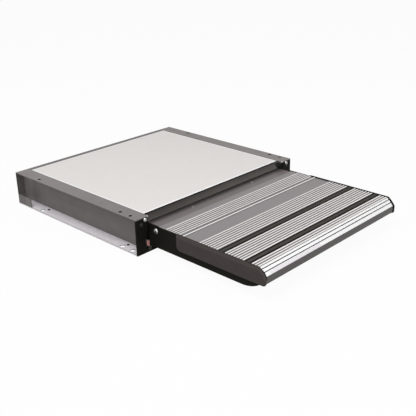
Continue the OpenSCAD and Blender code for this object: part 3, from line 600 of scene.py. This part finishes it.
# Each finish: how it is made, its slot, its dark and light shade, and its settings
FINISH_ROWS = (
    (coated, "rail_paint", (0.203, 0.184, 0.183), (0.225, 0.205, 0.204),
     {"gloss": 0.1, "marks": rail_marks}),
    (coated, "panel_coat", (0.675, 0.651, 0.637), (0.688, 0.664, 0.65),
     {"rough": (0.4, 0.5), "gloss": 0.12, "peel": 0.05, "marks": panel_marks}),
    (coated, "fascia_paint", (0.058, 0.052, 0.047), (0.07, 0.063, 0.058),
     {"gloss": 0.12, "marks": fascia_marks}),
    (coated, "black_paint", (0.0095, 0.009, 0.007), (0.012, 0.0115, 0.009),
     {"gloss": 0.03, "marks": black_marks}),
    (drawn_metal, "bare_aluminium", (0.9, 0.87, 0.9), (1.0, 0.97, 1.0),
     {"rough": (0.4, 0.5), "metal": 0.1, "marks": strip_marks}),
    (drawn_metal, "tread_aluminium", (0.18, 0.163, 0.165), (0.216, 0.196, 0.2),
     {"rough": (0.36, 0.5), "metal": 0.25, "relief": 0.08, "marks": tread_marks, **TREAD_LINES}),
    (drawn_metal, "zinc_steel", (0.42, 0.42, 0.41), (0.55, 0.55, 0.54),
     {"rough": (0.25, 0.4), "metal": 0.9, "marks": bolt_marks}),
    (drawn_metal, "dark_steel", (0.009, 0.0085, 0.007), (0.013, 0.0125, 0.01),
     {"rough": (0.5, 0.6), "metal": 0.1, "gloss": 0.03}),
    (moulded, "guide_nylon", grey(0.008), (0.013, 0.013, 0.012), {"gloss": 0.05}),
    (moulded, "glide_nylon", (0.62, 0.61, 0.56), (0.7, 0.69, 0.64), {}),
    (moulded, "cap_plastic", (0.055, 0.045, 0.042), (0.062, 0.051, 0.048),
     {"gloss": 0.1, "marks": cap_marks}),
    (moulded, "grip_rubber", (0.055, 0.051, 0.044), (0.066, 0.061, 0.053),
     {"rough": (0.6, 0.75), "gloss": 0.05, "marks": grip_marks}),
    (moulded, "buffer_rubber", grey(0.012), grey(0.02), {"rough": (0.6, 0.75), "gloss": 0.2}),
    (moulded, "red_nylon", (0.66, 0.32, 0.29), (0.74, 0.37, 0.33),
     {"rough": (0.35, 0.45), "marks": lever_marks}),
)
FINISHES = {name: make(name, dark, light, **settings)
            for make, name, dark, light, settings in FINISH_ROWS}


# Modelling helpers

def only(piece):
    """Selects one object alone and makes it active."""
    bpy.ops.object.select_all(action="DESELECT")
    piece.select_set(True)
    bpy.context.view_layer.objects.active = piece


def removed(helper):
    """Deletes an object that has done its work."""
    only(helper)
    bpy.ops.object.delete()


def modified(piece, kind, **settings):
    """Adds a modifier with its settings to the piece, and applies it."""
    only(piece)
    bpy.ops.object.modifier_add(type=kind)
    modifier = piece.modifiers[-1]
    for key, value in settings.items():
        setattr(modifier, key, value)
    bpy.ops.object.modifier_apply(modifier=modifier.name)


def merged_copy(node, name):
    """A copy of a CAD node whose loose triangles are joined into flat faces."""
    only(NODES[node])
    bpy.ops.object.duplicate()
    piece = bpy.context.active_object
    piece.name = name
    del piece["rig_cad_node"]
    bpy.ops.object.mode_set(mode="EDIT")
    bpy.ops.mesh.select_all(action="SELECT")
    bpy.ops.mesh.remove_doubles(threshold=SAME_VERTEX)
    bpy.ops.mesh.dissolve_limited(angle_limit=FLAT)
    bpy.ops.object.mode_set(mode="OBJECT")
    return piece


def rounded(piece, width, segments):
    """Rounds the piece's sharp edges."""
    modified(piece, "BEVEL", width=width, segments=segments, limit_method="ANGLE", angle_limit=SHARP)
    bpy.ops.object.shade_smooth_by_angle(angle=SHARP)
    modified(piece, "WEIGHTED_NORMAL", keep_sharp=True)


def smoothed(piece):
    """Rounds a coarse wire."""
    modified(piece, "SUBSURF", levels=2, render_levels=2)
    bpy.ops.object.shade_smooth()


def chosen_moved(piece, chosen, change, **settings):
    """Selects the vertices that a test accepts, and moves them with one of the transform operators."""
    only(piece)
    bpy.ops.object.mode_set(mode="EDIT")
    bpy.ops.mesh.select_mode(type="VERT")
    bpy.ops.mesh.select_all(action="DESELECT")
    bpy.ops.object.mode_set(mode="OBJECT")
    for vertex in piece.data.vertices:
        vertex.select = chosen(vertex)
    bpy.ops.object.mode_set(mode="EDIT")
    change(**settings)
    bpy.ops.object.mode_set(mode="OBJECT")


def head_middles(piece, on_head):
    """Middles of the left and the right head's faces, from the vertices that a test accepts."""
    middles = []
    for sign in (-1, 1):
        face = [v.co for v in piece.data.vertices if sign * v.co.x > 0 and on_head(v.co)]
        middles.append(sum(face, Vector()) / len(face))
    return middles


def broad_heads(piece, middles):
    """Makes the heads of the arms' bolts broader."""
    for middle in middles:
        def on_head(vertex):
            return abs(vertex.co.x) > ARM_FACE - ON_FACE and (vertex.co - middle).length < HEAD_REACH
        chosen_moved(piece, on_head, bpy.ops.transform.resize,
                     value=(1, HEAD_GROWTH, HEAD_GROWTH), center_override=middle)


def socketed(piece, middles, axis, across, depth):
    """Cuts a hexagon socket into each head along an axis, X or Y."""
    turn = (0, math.pi / 2, 0) if axis == "X" else (math.pi / 2, 0, 0)
    for middle in middles:
        bpy.ops.object.select_all(action="DESELECT")
        bpy.ops.mesh.primitive_cylinder_add(vertices=6, radius=across / math.sqrt(3), depth=2 * depth,
                                            location=middle, rotation=turn)
        cutter = bpy.context.active_object
        modified(piece, "BOOLEAN", operation="DIFFERENCE", object=cutter)
        removed(cutter)


def folded_top(piece):
    """Leans the upper band of an end cap's outer face inwards, most at its top edge."""
    side = max(abs(v.co.x) for v in piece.data.vertices)
    inward = -CAP_LEAN if piece.data.vertices[0].co.x > 0 else CAP_LEAN
    fold = max(v.co.z for v in piece.data.vertices) - CAP_BAND
    only(piece)
    bpy.ops.object.mode_set(mode="EDIT")
    bpy.ops.mesh.select_all(action="SELECT")
    bpy.ops.mesh.bisect(plane_co=(0, 0, fold), plane_no=(0, 0, 1))
    bpy.ops.object.mode_set(mode="OBJECT")
    shares = {v.index: (v.co.z - fold) / CAP_BAND for v in piece.data.vertices
              if abs(v.co.x) > side - ON_CAP and v.co.z > fold + ON_CAP}
    for index, share in shares.items():
        chosen_moved(piece, lambda vertex: vertex.index == index,
                     bpy.ops.transform.translate, value=(inward * share, 0, 0))


def bent(piece, low, high, shifts):
    """Moves the corners of a box, seen from the side, and the piece with them: y and z of the box's low and
    high corner, and a shift for each corner named by whether it is at the back and at the top."""
    bpy.ops.object.select_all(action="DESELECT")
    bpy.ops.object.add(type="LATTICE", location=(0, (low[0] + high[0]) / 2, (low[1] + high[1]) / 2))
    cage = bpy.context.active_object
    cage.scale = (1, high[0] - low[0], high[1] - low[1])
    cage.data.points_u = cage.data.points_v = cage.data.points_w = 2
    for axis in "uvw":
        setattr(cage.data, "interpolation_type_" + axis, "KEY_LINEAR")
    for point in cage.data.points:
        shift = shifts.get((point.co.y > 0, point.co.z > 0), (0, 0))
        point.co_deform.y += shift[0] / cage.scale.y
        point.co_deform.z += shift[1] / cage.scale.z
    modified(piece, "LATTICE", object=cage)
    removed(cage)


def steepened(piece):
    """Draws the nose's front back and down, to a steeper fall; its lowest edge moves only back."""
    share = (NOSE_BACK - CAP_LOW.y) / NOSE_RUN
    lean, sink = NOSE_LEAN * share, NOSE_SINK * share
    bent(piece, (CAP_LOW.y, CAP_LOW.z), (NOSE_BACK, PLANK_LOW.z),
         {(False, False): (lean, 0), (False, True): (lean, -sink)})


def sunk_top(piece, depth):
    """Lowers the top edge of an end cap or arm."""
    top = max(v.co.z for v in piece.data.vertices)
    bent(piece, (NOSE, top - CAP_BAND), (NOSE_BACK, top),
         {(False, True): (0, -depth), (True, True): (0, -depth)})


def lengthened(piece):
    """Draws the left end of a plank or grip strip out over the arm, up to the end cap."""
    end = min(v.co.x for v in piece.data.vertices)
    chosen_moved(piece, lambda vertex: vertex.co.x < end + ON_FACE,
                 bpy.ops.transform.translate, value=(END_GAP - ARM_FACE - end, 0, 0))


def shaped(piece, node, kind):
    """Gives the piece the forms that its solid lacks."""
    if kind == "arm_bolts":
        outer = max(v.co.x for v in piece.data.vertices)
        middles = head_middles(piece, lambda place: abs(place.x) > outer - ON_FACE)
        broad_heads(piece, middles)
        socketed(piece, middles, "X", *BOLT_SOCKET)
    if kind == "front_plate_screws":
        middles = head_middles(piece, lambda place: place.y < SCREW_FACE)
        socketed(piece, middles, "Y", *SCREW_SOCKET)
    if kind == "end_cap":
        folded_top(piece)
    if node == "end_cap_left":
        sunk_top(piece, CAP_SINK)
    if node == "arm_left":
        sunk_top(piece, ARM_SINK)
    if kind in ("rear_plank", "front_plank", "grip_strip_rear", "grip_strip_front"):
        lengthened(piece)
    if kind in ("end_cap", "arm", "front_plank"):
        steepened(piece)


def shown_for(piece, node):
    """The piece takes the CAD node's place, body and finish."""
    piece.data.materials.clear()
    piece.data.materials.append(FINISHES[SLOT_OF[node]])
    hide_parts(node)
    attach(piece, NODES[node]["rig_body"])


# Radius in mm and segments of each kind of piece's edges, folded, moulded or drawn
EDGES = {
    "side_rail": (0.5, 2), "floor_strip": (0.15, 1), "rear_member": (0.5, 2), "top_panel": (0.9, 3),
    "front_member": (0.6, 2), "front_plate": (0.4, 2), "front_sill": (0.4, 2), "upper_guide": (0.4, 2),
    "lower_guide": (0.3, 2), "rear_buffers": (1.5, 4), "arm": (0.4, 2), "rear_plank": (0.2, 2),
    "front_plank": (0.2, 2), "grip_strip_rear": (0.25, 2), "grip_strip_front": (0.25, 2),
    "end_cap": (0.5, 3), "rear_tie": (0.4, 2), "rear_glide": (0.5, 2), "strip_rivets": (0.4, 3),
    "rear_rivets": (0.5, 3), "tread_rivets": (0.5, 3), "front_plate_screws": (0.6, 3),
    "arm_bolts": (0.5, 3), "glide_screws": (0.4, 2), "strike_peg": (0.4, 2), "catch_lever": (0.3, 2),
    "catch_pin": (0.2, 2),
}

for node in NODES:
    kind = node.replace("_left", "").replace("_right", "")
    piece = merged_copy(node, node + "_finished")
    shaped(piece, node, kind)
    if kind == "catch_spring":
        smoothed(piece)
    else:
        radius, segments = EDGES[kind]
        rounded(piece, radius * MM, segments)
    shown_for(piece, node)


# Studio: pale floor, soft light and the camera

FLOOR_GREY = 0.75
FLOOR_WHITE = 0.95
SKY_LIGHT = 0.35


def seen_directly(tree):
    """1 for what the camera sees, straight or in a mirror or glass, and 0 for other light."""
    path = node_in(tree, "ShaderNodeLightPath")
    seen = path.outputs["Is Camera Ray"]
    for ray in ("Is Glossy Ray", "Is Transmission Ray"):
        seen = combined(tree, "MAXIMUM", seen, path.outputs[ray])
    return seen


def floor():
    """A pale floor, nearly white to the camera, that keeps the part's shadow."""
    bpy.ops.object.select_all(action="DESELECT")
    bpy.ops.mesh.primitive_plane_add(size=12, location=(0, 0, CAD_BOX[0].z - 0.2 * MM))
    ground = bpy.context.active_object
    ground.name = "studio_floor"
    material = bpy.data.materials.new("studio_floor")
    material.use_nodes = True
    tree = material.node_tree
    tree.nodes.clear()
    output = node_in(tree, "ShaderNodeOutputMaterial")
    diffuse = node_in(tree, "ShaderNodeBsdfDiffuse")
    diffuse.inputs["Color"].default_value = (*grey(FLOOR_GREY), 1)
    white = node_in(tree, "ShaderNodeEmission")
    mix = node_in(tree, "ShaderNodeMixShader")
    tree.links.new(faint(tree, seen_directly(tree), FLOOR_WHITE), mix.inputs["Fac"])
    tree.links.new(diffuse.outputs["BSDF"], mix.inputs[1])
    tree.links.new(white.outputs["Emission"], mix.inputs[2])
    tree.links.new(mix.outputs["Shader"], output.inputs["Surface"])
    ground.data.materials.append(material)


def sky():
    """A white surround that lights the part softly."""
    world = bpy.data.worlds.new("studio")
    bpy.context.scene.world = world
    world.use_nodes = True
    tree = world.node_tree
    background = tree.nodes["Background"]
    background.inputs["Color"].default_value = (*grey(1), 1)
    strength = ramped(tree, seen_directly(tree), SKY_LIGHT, 1.0, 0, 1)
    tree.links.new(strength, background.inputs["Strength"])


def lamp(name, place, aim, size, power):
    """A round area lamp."""
    light = bpy.data.lights.new(name, "AREA")
    light.shape = "DISK"
    light.size = size
    light.energy = power
    lamp_object = bpy.data.objects.new(name, light)
    lamp_object.location = place
    lamp_object.rotation_mode = "QUATERNION"
    lamp_object.rotation_quaternion = (Vector(aim) - Vector(place)).to_track_quat("-Z", "Y")
    bpy.context.scene.collection.objects.link(lamp_object)


def camera():
    """The camera at the photograph's place and angle."""
    back = Vector((math.sin(CAMERA_AZIMUTH) * math.cos(CAMERA_ELEVATION),
                   -math.cos(CAMERA_AZIMUTH) * math.cos(CAMERA_ELEVATION), math.sin(CAMERA_ELEVATION)))
    right = Vector((math.cos(CAMERA_AZIMUTH), math.sin(CAMERA_AZIMUTH), 0))
    up = back.cross(right)
    rolled_right = math.cos(CAMERA_ROLL) * right + math.sin(CAMERA_ROLL) * up
    rolled_up = math.cos(CAMERA_ROLL) * up - math.sin(CAMERA_ROLL) * right
    turn = Matrix((rolled_right, rolled_up, back)).transposed().to_4x4()
    data = bpy.data.cameras.new("camera")
    data.sensor_width = SENSOR
    data.lens = FOCAL_PIXELS * SENSOR / IMAGE_SIDE
    data.clip_end = 50
    eye = bpy.data.objects.new("camera", data)
    eye.matrix_world = Matrix.Translation(CAMERA_PLACE) @ turn
    bpy.context.scene.collection.objects.link(eye)
    bpy.context.scene.camera = eye


floor()
sky()
lamp("overhead", place=(-0.75, -0.25, 1.85), aim=(-0.1, -0.1, 0), size=1.6, power=30)
lamp("front", place=(0.3, -1.8, 1.0), aim=(0, -0.3, -0.05), size=1.0, power=9)
camera()
bpy.context.scene.view_settings.view_transform = "Standard"
